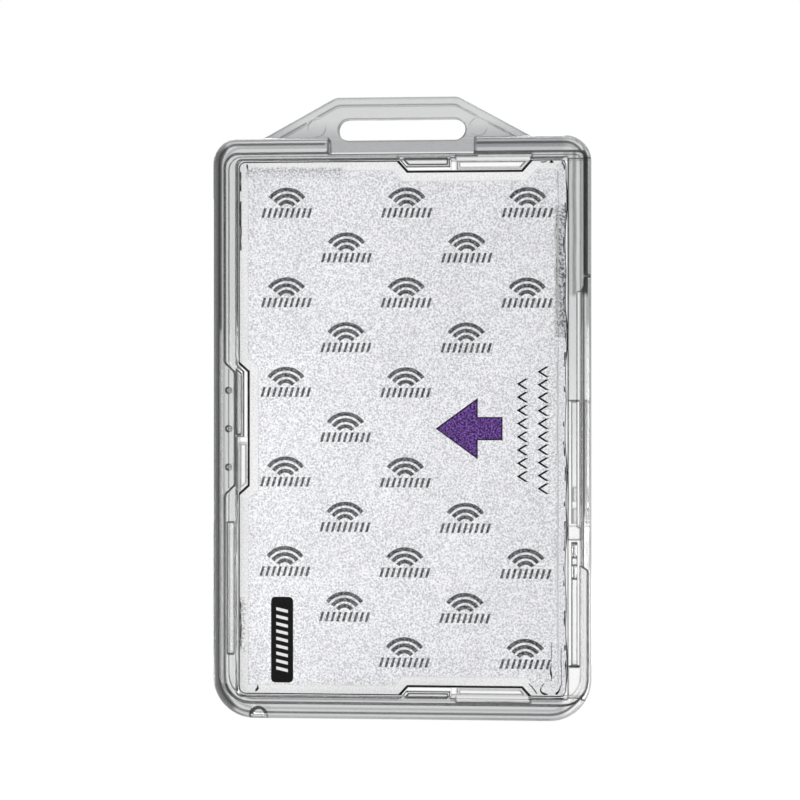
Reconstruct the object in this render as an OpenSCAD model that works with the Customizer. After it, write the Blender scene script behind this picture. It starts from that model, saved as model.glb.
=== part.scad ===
// Badge holder with a card bay in front and one behind, and a foil shield between them.
// Two clear mouldings meet at a seam in front of the middle floor. Cards slide in from the right.
// Everything is drawn lying down with the front face up, and upright() then stands it up,
// so here x runs to the right, y runs up the holder and z runs towards its front.

/* [Card bays] */
// Width of the card that a bay holds
card_w = 53.98; // [52:0.01:58]
// Height of the card
card_h = 85.6; // [82:0.1:92]
// Free play beside the card, on each side
card_play = 0.5; // [0.2:0.05:0.6]
// Room in front of the shield for the front card
front_room = 1; // [0.9:0.05:1.6]
// Room behind the floor for the rear card
rear_room = 1.1; // [0.9:0.05:1.6]

/* [Walls] */
// Width of the left wall
left_wall = 3.8; // [3.6:0.1:6]
// Width of the right wall, outside the card
right_wall = 2.2; // [2:0.1:3.5]
// Height of the top wall
top_wall = 3.6; // [3.5:0.1:5]
// Height of the bottom wall
bottom_wall = 3.6; // [3.4:0.1:5]
// Thickness of the floor between the two bays
floor_t = 0.8; // [0.6:0.1:1.2]
// Thickness of the ledges and lips over the bays
lip_t = 1.1; // [0.9:0.05:1.5]
// Height of the raised border above the ledge
border_h = 0.8; // [0.4:0.1:1.2]
// Width of the raised border on the left
border_w = 2; // [1.8:0.05:2.3]
// Width of the raised border at the top and at the bottom
end_border_w = 2.65; // [2.4:0.05:3]
// Width of the raised border high on the right
high_border_w = 1.15; // [0.9:0.05:1.3]
// Width of the raised border low on the right
low_border_w = 0.55; // [0.4:0.05:0.8]
// Radius of the upper corners
top_corner_r = 4.2; // [3.5:0.1:5]
// Radius of the lower corners
bottom_corner_r = 6.7; // [5:0.1:7]
// Rounding of the outer edges
edge_r = 1.5; // [0.8:0.05:1.6]
// Rounding of the bays' corners
bay_corner_r = 1; // [0.6:0.1:1.5]
// Seam left between the two mouldings
seam = 0.05; // [0.03:0.01:0.1]
// Bevel around the mouths of the card slots
mouth_bevel = 0.35; // [0.2:0.05:0.5]

/* [Strap tab] */
// Length of the strap slot
slot_w = 20.6; // [16:0.1:21]
// Height of the strap slot
slot_h = 3.5; // [3:0.1:4]
// Height of the slot's middle above the body's top edge
slot_rise = 1.35; // [0.8:0.05:1.5]
// Height of the tab above the body's top edge
tab_rise = 6.5; // [6:0.1:8]
// Width of the tab's top edge
tab_top_w = 19.75; // [18:0.05:24]
// Sideways place of the tab's middle beside the slot's
tab_shift = -0.75; // [-1:0.05:1]
// Slope of the tab's sides
tab_angle = 28.8; // [25:0.1:35]
// Thickness of the tab's plate
tab_t = 2.2; // [1.8:0.1:2.6]
// Width of the bead along the tab's edge
bead_w = 1.2; // [0.8:0.1:1.6]
// Height of the bead above the plate
bead_h = 0.4; // [0.2:0.05:0.6]
// Rounding of the tab's corners
tab_corner_r = 2.4; // [1:0.1:3]
// Width of the relief for the strap clip
relief_w = 23.6; // [22:0.1:26]
// Depth of the relief below the body's top edge
relief_h = 2.75; // [2.7:0.05:2.9]

/* [Lips and windows] */
// Half length of a lip pair's front edge
lip_half = 9.1; // [8:0.1:11]
// Reach of the side lips over the card
lip_reach = 1.2; // [1:0.05:1.3]
// Reach of the window in the floor behind the side lips
window_reach = 1.4; // [1.4:0.05:1.6]
// How much further the top lips reach than the side ones, and how much less the bottom ones
reach_step = 0.15; // [0:0.05:0.2]
// Flare of a lip's ends, sideways for each unit of reach
lip_flare_share = 0.9;
// Distance of the split between front and rear lip from the middle of the pair
lip_split = 1.8; // [0:0.05:3]
// Width of the web between the two windows of a pair
web_w = 0.9; // [0.6:0.1:1.4]
// Cut-back of a window behind the bay's end wall
window_back = 0.6; // [0.4:0.05:0.6]
// Sideways place of the top and bottom lip pairs
end_lip_x = 10.15; // [6:0.05:12]
// Distance from the top of the bays down to the side lip pair
side_lip_drop = 43.4; // [36:0.1:48]
// Border left around the shallow recess in each lip
lip_rim = 0.4; // [0.3:0.05:0.5]
// Depth of the recess in each lip
lip_recess = 0.35; // [0.2:0.05:0.5]
// Radius of the dimples beside the side lips
dimple_r = 0.6; // [0.3:0.05:0.7]
// Distance between the dimples
dimple_pitch = 6.2; // [5:0.1:7]
// Distance of the dimples from the left edge
dimple_inset = 2.7; // [2:0.1:3]

/* [Right rail and spring fingers] */
// Reach of the right rail over the card
rail_reach = 1.6; // [1.4:0.05:2]
// Width of the groove between the rail and the border
groove_w = 0.55; // [0.4:0.05:0.6]
// Distance from the top of the bays down to the upper step of the border
high_step_drop = 20.5; // [15:0.1:25]
// Height of the slanted part of that step
high_step_h = 1; // [0.5:0.1:2]
// Distance from the top of the bays down to the lower step of the border
low_step_drop = 65.3; // [62:0.1:68]
// Height of the slanted part of the lower step
low_step_h = 0.7; // [0.4:0.1:1.2]
// Distance from the top of the bays down to the bridge between the fingers
bridge_drop = 59.1; // [54:0.1:60]
// Height of the bridge
bridge_h = 2.1; // [1.5:0.1:3]
// Length of a finger, from its pivot to its tip
finger_l = 19.5; // [16:0.1:21]
// Width of the open slit beside a finger
finger_slit = 0.6; // [0.5:0.05:0.7]
// Gap between a finger and the rail
finger_gap = 0.3; // [0.25:0.05:0.35]
// Running clearance around a finger's round root
root_play = 0.05; // [0.03:0.01:0.08]
// Radius of the nubs that press on the card
nub_r = 0.42; // [0.3:0.02:0.45]
// Length of a nub
nub_l = 2.2; // [1.5:0.1:3]
// Distance between the nubs
nub_pitch = 3.4; // [3.2:0.1:5]

/* [Shield] */
// Thickness of the tape strips
tape_t = 0.1; // [0.05:0.01:0.15]
// Thickness of the shield's stiff carrier
carrier_t = 0.2; // [0.15:0.01:0.25]
// Thickness of the metal foil
foil_t = 0.1; // [0.05:0.01:0.12]
// Thickness of the printed film
film_t = 0.1; // [0.05:0.01:0.12]
// Gap around the shield in its bay
shield_gap = 0.25; // [0.15:0.05:0.4]
// Gap between the shield's notches and the windows
notch_gap = 0.5; // [0.3:0.05:0.6]
// Gap between the shield and the right rail
rail_gap = 0.13; // [0.1:0.01:0.3]
// Width of the sealed margin around the foil
seal_w = 1.3; // [1:0.1:1.8]
// Rounding of the shield's corners
shield_corner_r = 0.9; // [0.5:0.1:1.4]
// Length of the top tape strip
top_tape_l = 15.9; // [10:0.1:20]
// Width of the top tape strip
top_tape_w = 1.6; // [1:0.1:2.5]
// Length of the right tape strip
right_tape_l = 21; // [15:0.1:30]
// Width of the right tape strip
right_tape_w = 1.6; // [1:0.1:2.5]
// Distance from the shield's top down to the right tape strip
right_tape_drop = 6.9; // [5:0.1:12]
// Length of the left tape strip
left_tape_l = 18; // [12:0.1:24]
// Width of the left tape strip
left_tape_w = 0.95; // [0.6:0.05:2]
// Distance from the shield's top down to the left tape strip
left_tape_drop = 61; // [58:0.1:64]
// Distance of the tape strips from the shield's edge
tape_inset = 0.3; // [0.1:0.1:0.6]

/* [Small features] */
// Radius of the locating posts
post_r = 1.4; // [1:0.05:1.5]
// Radial clearance of a post in its bore
post_play = 0.06; // [0.04:0.01:0.1]
// Thickness of the tab's plate in front of a post
post_cover = 0.3; // [0.2:0.05:0.4]
// Distance of the tab's posts from its middle
tab_post_x = 13.1; // [12.8:0.1:14]
// Height of the tab's posts above the slot's middle
tab_post_y = 0.35; // [0:0.05:1]
// Radius of the gate recess in the bottom edge
gate_r = 1.4; // [0.8:0.1:1.6]
// Depth of the gate recess
gate_depth = 0.8; // [0.3:0.1:1]
// Height of its middle above the bottom edge
gate_rise = 0.65; // [0:0.05:0.8]
// Distance of the gate recess from the middle
gate_x = 23; // [18:0.1:24]
// Depth of the shallow relief along the left edge
grip_depth = 0.15; // [0.1:0.05:0.3]
// Distance from the top of the bays down to the relief
grip_drop = 6.2; // [4:0.1:8]
// Length of the relief
grip_l = 52.5; // [40:0.5:60]
// Depth of the pad recess in the left ledge
pad_depth = 0.3; // [0.2:0.05:0.5]
// Length of the pad recess
pad_l = 21.3; // [15:0.1:24]
// Distance from the top of the bays down to the pad recess
pad_drop = 58.5; // [57:0.1:60]
// Gap from the pad recess to the border and to the bay
pad_margin = 0.35; // [0.2:0.05:0.6]
// Width of the witness notch across the right border
notch_w = 0.35; // [0.2:0.05:0.6]
// Distance from the top of the bays down to that notch
notch_drop = 18.8; // [14:0.1:19]

/* [Hidden] */
$fn = 64;

// How far a cut runs past the face that it opens
overrun = 0.5;
// Steps along each rounded corner of an outline
corner_steps = 6;
// Clear plastic as it looks in front of white
clear_colour = [0.78, 0.81, 0.82, 0.55];

// The bays and the body in x
body_w = left_wall + card_w + 2 * card_play + right_wall;
body_left = -body_w / 2;
body_right = body_w / 2;
bay_left = body_left + left_wall;
bay_right = body_right - right_wall;
rail_left = bay_right - rail_reach;

// The bays and the body in y, counted from the middle of the strap slot
body_top = -slot_rise;
bay_top = body_top - top_wall;
bay_low = bay_top - card_h - 2 * card_play;
body_low = bay_low - bottom_wall;
tab_top = body_top + tab_rise;

// The layers in z, in front of the middle of the floor and behind it
seam_z = floor_t / 2;
front_base = seam_z + seam;
carrier_z = seam_z + tape_t;
foil_z = carrier_z + carrier_t;
shield_z = foil_z + foil_t + film_t;
front_under = shield_z + front_room;
front_ledge = front_under + lip_t;
front_top = front_ledge + border_h;
rear_under = floor_t / 2 + rear_room;
rear_ledge = rear_under + lip_t;
rear_top = rear_ledge + border_h;

// The band that carries the rounded outer edge, and the filling inside it
band_w = (edge_r + top_corner_r) / 2;
fill_inset = (edge_r + band_w) / 2;

// The right rail, its grooves and its fingers
groove_right = bay_right + groove_w;
high_step_y = bay_top - high_step_drop;
low_step_y = bay_top - low_step_drop;
bridge_top = bay_top - bridge_drop;
bridge_low = bridge_top - bridge_h;
finger_left = rail_left + finger_slit;
finger_w = bay_right - finger_left;
front_pivot_y = bridge_low - finger_gap - finger_l;
rear_pivot_y = bridge_top + finger_gap + finger_l;
root_r = lip_t / 2;

// The shield's edges
shield_left = bay_left + shield_gap;
shield_right = rail_left - rail_gap;
shield_top = bay_top - shield_gap;
shield_low = bay_low + shield_gap;

// Places of the lip pairs and the small features
side_lip_y = bay_top - side_lip_drop;
low_corner_y = body_low + bottom_corner_r;
TOP = 0;
BOTTOM = 1;
SIDE = 2;
STATIONS = [TOP, BOTTOM, SIDE];
FRONT = 1;
REAR = -1;

// Rounded outlines

function unit(v) = v / norm(v);

// The arc that replaces corner b between its neighbours a and c
function corner_arc(a, b, c, r) =
    let (
        u = unit(a - b),
        v = unit(c - b),
        half = acos(u * v) / 2,
        centre = b + unit(u + v) * r / sin(half),
        p = b + u * r / tan(half) - centre,
        q = b + v * r / tan(half) - centre,
        start = atan2(p[1], p[0]),
        turn = (atan2(q[1], q[0]) - start + 540) % 360 - 180
    )
    [for (k = [0:corner_steps])
        centre + r * [cos(start + turn * k / corner_steps), sin(start + turn * k / corner_steps)]];

// A polygon's points with each corner rounded by its own radius
function rounded(points, radii) =
    let (n = len(points))
    [for (k = [0:n - 1])
        each radii[k] > 0
            ? corner_arc(points[(k + n - 1) % n], points[k], points[(k + 1) % n], radii[k])
            : [points[k]]];

function box_points(low, high) =
    [[low[0], low[1]], [high[0], low[1]], [high[0], high[1]], [low[0], high[1]]];

module upright() {
    rotate([90, 0, 0])
        children();
}

// A flat outline raised from one height to another
module slab(low, high) {
    translate([0, 0, low])
        linear_extrude(high - low)
            children();
}

module block(low, high) {
    translate(low)
        cube(high - low);
}

// The body's outline, with true arcs in its corners
module body_outline(inset) {
    half = body_w / 2 - inset;
    top_r = top_corner_r - inset;
    low_r = bottom_corner_r - inset;
    top = body_top - inset;
    low = body_low + inset;
    translate([-half, low + low_r])
        square([2 * half, top - top_r - low - low_r]);
    translate([top_r - half, low + low_r])
        square([2 * (half - top_r), top - low - low_r]);
    translate([low_r - half, low])
        square([2 * (half - low_r), top - top_r - low]);
    for (side = [-1, 1]) {
        translate([side * (half - top_r), top - top_r])
            circle(top_r);
        translate([side * (half - low_r), low + low_r])
            circle(low_r);
    }
}

// Section of the outer band: x runs inwards from the wall, y is the height
module band_section(low, high) {
    difference() {
        translate([0, low])
            square([band_w, high - low]);
        translate([0, high - edge_r])
            difference() {
                translate([-overrun, 0])
                    square(edge_r + overrun);
                translate([edge_r, 0])
                    circle(edge_r);
            }
    }
}

module band_side(place, turn, l, low, high) {
    translate(place)
        rotate([90, 0, turn])
            linear_extrude(l)
                band_section(low, high);
}

module band_corner(place, turn, r, low, high) {
    translate(place)
        rotate([0, 0, turn])
            rotate_extrude(angle = 90)
                translate([r, 0])
                    mirror([1, 0])
                        band_section(low, high);
}

// The blank of one moulding, with its outer edge rounded
module blank(low, high) {
    side_l = body_top - top_corner_r - low_corner_y;
    slab(low, high)
        body_outline(fill_inset);
    band_side([body_left, body_top - top_corner_r, 0], 0, side_l, low, high);
    band_side([body_right, low_corner_y, 0], 180, side_l, low, high);
    band_side([body_right - top_corner_r, body_top, 0], -90, body_w - 2 * top_corner_r, low, high);
    band_side([body_left + bottom_corner_r, body_low, 0], 90, body_w - 2 * bottom_corner_r, low, high);
    for (side = [0, 1]) {
        band_corner([(1 - 2 * side) * (body_right - top_corner_r), body_top - top_corner_r, 0],
                    90 * side, top_corner_r, low, high);
        band_corner([(1 - 2 * side) * (body_right - bottom_corner_r), low_corner_y, 0],
                    270 - 90 * side, bottom_corner_r, low, high);
    }
}

// Lip pairs: x runs along the wall, y runs from the wall into the bay

module at_station(station) {
    if (station == TOP)
        translate([end_lip_x, bay_top])
            mirror([0, 1])
                children();
    if (station == BOTTOM)
        translate([end_lip_x, bay_low])
            children();
    if (station == SIDE)
        translate([bay_left, side_lip_y])
            mirror([1, -1])
                children();
}

// Which end of a pair belongs to the front lip or to the rear one
function lip_end(station, face) = station == SIDE ? face : -face;

// Cut-back of a pair's windows, which the wide border on the left leaves out
function station_back(station) = station == SIDE ? 0 : window_back;

// What a pair reaches further than the side pair
function station_step(station) = station == TOP ? reach_step : station == BOTTOM ? -reach_step : 0;

// One lip's or window's outline, between the pair's split and its flared end
function lip_points(end, reach, step, back, margin) =
    let (
        split = end * web_w / 2 - lip_split,
        front = reach + step - margin,
        tip = end * (lip_half + window_reach - reach - margin),
        foot = tip + end * lip_flare_share * (front + back)
    )
    [[split + end * margin, -back], [foot, -back], [tip, front], [split + end * margin, front]];

module lip_shape(station, face, reach, back, margin = 0) {
    at_station(station)
        polygon(lip_points(lip_end(station, face), reach, station_step(station), back, margin));
}

// The lips of one face, each with its shallow recess
module lips(face, under, ledge) {
    for (station = STATIONS)
        difference() {
            slab(under, ledge)
                lip_shape(station, face, lip_reach, overrun);
            slab(ledge - lip_recess, ledge + overrun)
                lip_shape(station, face, lip_reach, 0, lip_rim);
        }
}

// The windows that free the other face's lips
module windows(face, low, high) {
    for (station = STATIONS)
        slab(low, high)
            lip_shape(station, -face, window_reach, station_back(station));
}

// The strap tab: its outline follows two slopes, and an inset one gives the bead

function tab_points(inset) =
    let (
        half = tab_top_w / 2 - inset * tan(tab_angle / 2),
        top = tab_top - inset,
        foot = body_top - edge_r,
        foot_half = half + (top - foot) / tan(tab_angle)
    )
    [[tab_shift - half, top], [tab_shift + half, top],
     [tab_shift + foot_half, foot], [tab_shift - foot_half, foot]];

module tab_shape(inset) {
    polygon(rounded(tab_points(inset), [tab_corner_r, tab_corner_r, 0, 0]));
}

module tab_layer(low) {
    slab(low, tab_t / 2)
        tab_shape(0);
    slab(low, tab_t / 2 + bead_h)
        difference() {
            tab_shape(0);
            tab_shape(bead_w);
        }
    // The plate goes on below the relief, as far as the bays' end wall
    block([-relief_w / 2 - overrun, bay_top + overrun, low], [relief_w / 2 + overrun, body_top, tab_t / 2]);
}

module strap_slot() {
    slab(-front_top, front_top) {
        square([slot_w - slot_h, slot_h], center = true);
        for (side = [-1, 1])
            translate([side * (slot_w - slot_h) / 2, 0])
                circle(slot_h / 2);
    }
}

// What is cut away from the top wall for the strap clip
module clip_relief(high) {
    block([-relief_w / 2, body_top - relief_h, tab_t / 2], [relief_w / 2, body_top + overrun, high + overrun]);
}

// Both mouldings: bay, card slot, windows and border

module bay_shape() {
    polygon(rounded(box_points([bay_left, bay_low], [rail_left, bay_top]),
                    [bay_corner_r, 0, 0, bay_corner_r]));
}

// The slot in the right wall, with a bevelled mouth
module card_slot(low, high) {
    translate([0, bay_top, 0])
        rotate([90, 0, 0])
            linear_extrude(bay_top - bay_low)
                polygon([[rail_left - overrun, low], [body_right + mouth_bevel, low],
                         [body_right + mouth_bevel, high + 2 * mouth_bevel],
                         [body_right - mouth_bevel, high], [rail_left - overrun, high]]);
}

// The room around a finger; dir says which way it points from its pivot
module finger_room(pivot_y, dir, low, high) {
    reach = finger_l + finger_gap;
    block([rail_left - overrun, min(pivot_y, pivot_y + dir * reach), low - overrun],
          [bay_right + finger_gap, max(pivot_y, pivot_y + dir * reach), high + overrun]);
    translate([finger_left - finger_gap, pivot_y, (low + high) / 2])
        rotate([0, 90, 0])
            cylinder(r = root_r + root_play, h = finger_w + 2 * finger_gap);
    translate([(rail_left + finger_left) / 2, pivot_y, low - overrun])
        cylinder(r = finger_slit / 2, h = high - low + 2 * overrun);
}

module grip_relief(low, high) {
    block([body_left - overrun, bay_top - grip_drop - grip_l, low - overrun],
          [body_left + grip_depth, bay_top - grip_drop, high + overrun]);
}

// Edge of the raised border in front, which steps in and out on the right and at the side lips
function front_border() =
    let (
        left = body_left + border_w,
        low = body_low + end_border_w,
        top = body_top - end_border_w,
        high_x = body_right - high_border_w,
        low_x = body_right - low_border_w,
        wide = bay_left - pad_margin / 2,
        upper = side_lip_y + lip_half,
        lower = side_lip_y - lip_half,
        slant = wide - left,
        low_r = bottom_corner_r - end_border_w
    )
    rounded(
        [[left, low], [low_x, low], [low_x, low_step_y - low_step_h], [groove_right, low_step_y],
         [groove_right, high_step_y - high_step_h], [high_x, high_step_y], [high_x, top], [left, top],
         [left, upper + slant], [wide, upper], [wide, lower], [left, lower - slant]],
        [low_r, low_r, 0, 0, 0, 0, bay_corner_r, top_corner_r - border_w, 0, 0, 0, 0]);

// Edge of the raised border behind
function rear_border() =
    let (
        left = body_left + border_w,
        low = body_low + end_border_w,
        top = body_top - end_border_w,
        right = groove_right,
        low_r = bottom_corner_r - end_border_w
    )
    rounded([[left, low], [right, low], [right, top], [left, top]],
            [low_r, low_r, bay_corner_r, top_corner_r - border_w]);

// Named pieces

module tab_posts(play) {
    for (side = [-1, 1])
        translate([tab_shift + side * tab_post_x, tab_post_y, 0])
            cylinder(r = post_r + play, h = tab_t / 2 - post_cover + play);
}

module front_frame() {
    color(clear_colour)
        upright()
            difference() {
                union() {
                    difference() {
                        blank(front_base, front_top);
                        slab(front_ledge, front_top + overrun)
                            polygon(front_border());
                        slab(front_base - overrun, front_top + overrun)
                            bay_shape();
                        card_slot(front_base - overrun, front_under);
                        windows(FRONT, front_base - overrun, front_top + overrun);
                        clip_relief(front_top);
                        rail_groove();
                        front_marks();
                    }
                    lips(FRONT, front_under, front_ledge);
                    tab_layer(front_base);
                }
                finger_room(front_pivot_y, 1, front_under, front_ledge);
                tab_posts(post_play);
                strap_slot();
                grip_relief(front_base, front_top);
            }
}

// The groove beside the right rail, above the bridge
module rail_groove() {
    block([bay_right, bridge_top, front_under - overrun],
          [groove_right, high_step_y - high_step_h, front_ledge + overrun]);
    block([bay_right, low_step_y, front_under - overrun],
          [groove_right, bridge_low, front_ledge + overrun]);
}

// Shallow marks in the front of the left, bottom and right walls
module front_marks() {
    for (step = [-1:1])
        translate([body_left + dimple_inset, side_lip_y + step * dimple_pitch, front_top + dimple_r / 2])
            sphere(dimple_r);
    translate([-gate_x, body_low + gate_rise, front_top - gate_depth])
        cylinder(r = gate_r, h = gate_depth + overrun);
    block([body_left + border_w + pad_margin, bay_top - pad_drop - pad_l, front_ledge - pad_depth],
          [bay_left - pad_margin, bay_top - pad_drop, front_ledge + overrun]);
    block([body_right - high_border_w - overrun, bay_top - notch_drop - notch_w, front_ledge],
          [body_right + overrun, bay_top - notch_drop, front_top + overrun]);
}

module rear_shell() {
    color(clear_colour)
        upright() {
            difference() {
                union() {
                    mirror([0, 0, 1])
                        difference() {
                            blank(-seam_z, rear_top);
                            slab(rear_ledge, rear_top + overrun)
                                polygon(rear_border());
                            slab(floor_t / 2, rear_top + overrun)
                                bay_shape();
                            card_slot(floor_t / 2, rear_under);
                            windows(REAR, floor_t / 2, rear_top + overrun);
                            clip_relief(rear_top);
                        }
                    mirror([0, 0, 1]) {
                        lips(REAR, rear_under, rear_ledge);
                        tab_layer(-seam_z);
                    }
                }
                mirror([0, 0, 1])
                    finger_room(rear_pivot_y, -1, rear_under, rear_ledge);
                for (face = [FRONT, REAR])
                    windows(face, -seam_z - seam, seam_z + overrun);
                strap_slot();
                grip_relief(-rear_top, seam_z);
            }
            tab_posts(0);
        }
}

// A finger lies flush in its rail, turns at its round root and carries two nubs under its tip
module finger(pivot_y, dir, low, high) {
    tip_y = pivot_y + dir * finger_l;
    block([finger_left, min(pivot_y, tip_y), low], [bay_right, max(pivot_y, tip_y), high]);
    translate([finger_left, pivot_y, (low + high) / 2])
        rotate([0, 90, 0])
            cylinder(r = root_r, h = finger_w);
    for (k = [0, 1])
        translate([(finger_left + bay_right) / 2, tip_y - dir * (nub_l / 2 + k * nub_pitch + finger_gap), low])
            rotate([90, 0, 0])
                cylinder(r = nub_r, h = nub_l, center = true);
}

module front_finger() {
    color(clear_colour)
        upright()
            finger(front_pivot_y, 1, front_under, front_ledge);
}

module rear_finger() {
    color(clear_colour)
        upright()
            mirror([0, 0, 1])
                finger(rear_pivot_y, -1, rear_under, rear_ledge);
}

// The shield: a rectangle with a notch at each lip pair, drawn in from its edge by an inset
module shield_shape(inset) {
    difference() {
        polygon(rounded(box_points([shield_left + inset, shield_low + inset],
                                   [shield_right - inset, shield_top - inset]),
                        [for (k = [0:3]) shield_corner_r]));
        for (station = STATIONS)
            at_station(station)
                polygon(notch_points(station_step(station), inset));
    }
}

function notch_points(step, inset) =
    let (
        reach = window_reach + step + notch_gap + inset,
        tip = lip_half + notch_gap / 2 + inset / 2,
        foot = tip + lip_flare_share * (reach + overrun)
    )
    [[-foot, -overrun], [foot, -overrun], [tip, reach], [-tip, reach]];

module shield_carrier() {
    color([0.93, 0.93, 0.94])
        upright()
            slab(carrier_z, foil_z)
                shield_shape(0);
}

module shield_foil() {
    color([0.83, 0.84, 0.86])
        upright()
            slab(foil_z, foil_z + foil_t)
                shield_shape(seal_w);
}

module shield_film() {
    color([0.9, 0.9, 0.92])
        upright()
            difference() {
                slab(foil_z, shield_z)
                    shield_shape(0);
                slab(foil_z - foil_t, foil_z + foil_t)
                    shield_shape(seal_w);
            }
}

module tape(left, low, w, h) {
    color([0.86, 0.86, 0.84])
        upright()
            block([left, low, seam_z], [left + w, low + h, carrier_z]);
}

module tape_top() {
    tape(shield_left + shield_corner_r, shield_top - tape_inset - top_tape_w, top_tape_l, top_tape_w);
}

module tape_left() {
    tape(shield_left + tape_inset / 2, shield_top - left_tape_drop - left_tape_l, left_tape_w, left_tape_l);
}

module tape_right() {
    tape(shield_right - tape_inset - right_tape_w, shield_top - right_tape_drop - right_tape_l,
         right_tape_w, right_tape_l);
}

rear_shell();
front_frame();
shield_carrier();
shield_foil();
shield_film();
tape_top();
tape_left();
tape_right();
front_finger();
rear_finger();
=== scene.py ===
"""Clear badge holder with a silver shield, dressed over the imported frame. Lengths are in metres."""
import math

import bpy
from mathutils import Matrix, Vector, geometry, noise


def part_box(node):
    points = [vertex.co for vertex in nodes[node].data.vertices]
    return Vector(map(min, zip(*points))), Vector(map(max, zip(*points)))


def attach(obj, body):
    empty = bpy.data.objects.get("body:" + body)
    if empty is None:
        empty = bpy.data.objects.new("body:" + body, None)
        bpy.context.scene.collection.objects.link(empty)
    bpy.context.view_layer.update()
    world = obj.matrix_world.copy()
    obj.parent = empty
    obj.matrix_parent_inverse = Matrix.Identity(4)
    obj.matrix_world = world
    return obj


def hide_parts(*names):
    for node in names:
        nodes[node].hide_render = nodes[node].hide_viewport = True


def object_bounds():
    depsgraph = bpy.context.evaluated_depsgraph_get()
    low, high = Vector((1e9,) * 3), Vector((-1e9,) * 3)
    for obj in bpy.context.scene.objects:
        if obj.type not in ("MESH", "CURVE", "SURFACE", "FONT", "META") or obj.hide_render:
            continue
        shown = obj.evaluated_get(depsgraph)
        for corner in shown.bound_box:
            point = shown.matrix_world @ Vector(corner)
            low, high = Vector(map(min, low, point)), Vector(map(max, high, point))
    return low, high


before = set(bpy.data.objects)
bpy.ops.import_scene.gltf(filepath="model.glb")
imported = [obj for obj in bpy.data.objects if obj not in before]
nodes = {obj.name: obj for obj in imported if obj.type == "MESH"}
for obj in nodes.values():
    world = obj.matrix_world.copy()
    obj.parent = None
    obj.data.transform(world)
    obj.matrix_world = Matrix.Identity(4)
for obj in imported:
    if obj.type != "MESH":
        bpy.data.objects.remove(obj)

MM = 0.001
cad_low, cad_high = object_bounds()

# Where the photograph shows the holder: its scale, and the pixel at the slot's middle
PHOTO_SIDE = 800
PIXELS_PER_MM = 6.17
SLOT_PIXEL = (402.25, 130.25)


def pixel_x(px):
    """Place across the holder of a column of the photograph."""
    return (px - SLOT_PIXEL[0]) / PIXELS_PER_MM * MM


def pixel_z(py):
    """Height on the holder of a row of the photograph."""
    return (SLOT_PIXEL[1] - py) / PIXELS_PER_MM * MM


def grey(level):
    return (level, level, level, 1)


WHITE = grey(1)


# Node helpers

def new_material(name):
    material = bpy.data.materials.new(name)
    material.use_nodes = True
    return material, material.node_tree, material.node_tree.nodes["Principled BSDF"]


def feed(tree, socket, value):
    """Give a socket its value: an output to link, or a plain number, colour or vector."""
    if isinstance(value, bpy.types.NodeSocket):
        tree.links.new(value, socket)
    else:
        socket.default_value = value


def add(tree, kind, inputs=(), **settings):
    """A node of this kind; inputs gives what its sockets get, by their names or numbers."""
    node = tree.nodes.new(kind)
    for key, value in settings.items():
        setattr(node, key, value)
    for key, value in dict(inputs).items():
        feed(tree, node.inputs[key], value)
    return node


def separate(tree, vector):
    """The x, y and z of a vector."""
    return add(tree, "ShaderNodeSeparateXYZ", {"Vector": vector}).outputs


def noise_node(tree, scale, detail=2.0, roughness=0.5, stretch=None):
    vector = add(tree, "ShaderNodeTexCoord").outputs["Object"]
    if stretch:
        vector = add(tree, "ShaderNodeMapping", {"Vector": vector, "Scale": stretch}).outputs["Vector"]
    sockets = {"Vector": vector, "Scale": scale, "Detail": detail, "Roughness": roughness}
    return add(tree, "ShaderNodeTexNoise", sockets).outputs["Fac"]


def ramp_node(tree, source, stops):
    """A colour ramp over source, with (place, colour) stops."""
    made = add(tree, "ShaderNodeValToRGB", {"Fac": source})
    ramp = made.color_ramp
    while len(ramp.elements) < len(stops):
        ramp.elements.new(0.5)
    for element, (place, colour) in zip(ramp.elements, stops):
        element.position = place
        element.color = colour
    return made.outputs["Color"]


def bump_node(tree, source, strength, distance):
    return add(tree, "ShaderNodeBump", {"Height": source, "Strength": strength, "Distance": distance})


def step_node(tree, source, start, end, before, after):
    """A smooth step of source, from one value to another."""
    sockets = {"Value": source, "From Min": start, "From Max": end, "To Min": before, "To Max": after}
    return add(tree, "ShaderNodeMapRange", sockets, interpolation_type="SMOOTHSTEP").outputs["Result"]


def math_node(tree, operation, *values):
    """One operation on outputs and plain numbers."""
    return add(tree, "ShaderNodeMath", dict(enumerate(values)), operation=operation).outputs["Value"]


def product_node(tree, *factors):
    """All these outputs multiplied together."""
    total = factors[0]
    for factor in factors[1:]:
        total = math_node(tree, "MULTIPLY", total, factor)
    return total


def size_node(tree, source):
    """The source without its sign."""
    return math_node(tree, "ABSOLUTE", source)


def mix_node(tree, factor, first, second, blend="MIX", kind="RGBA"):
    """Two values mixed; each is an output or a plain value, and so is the factor."""
    sockets = {"Factor": factor, "A": first, "B": second}
    return add(tree, "ShaderNodeMix", sockets, data_type=kind, blend_type=blend).outputs["Result"]


def distance_node(tree, x, z, centre):
    """Distance from an (x, z) centre, seen from the front."""
    spot = add(tree, "ShaderNodeCombineXYZ", {"X": x, "Z": z}).outputs["Vector"]
    sockets = {0: spot, 1: (centre[0], 0, centre[1])}
    return add(tree, "ShaderNodeVectorMath", sockets, operation="DISTANCE").outputs["Value"]


# The clear plastic's edges: how wide they look, and how sharply one kind of place ends at the next
EDGE_RADIUS = 0.45 * MM
EDGE_SAMPLES = 8
EDGE_FADE = 0.2 * MM
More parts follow.
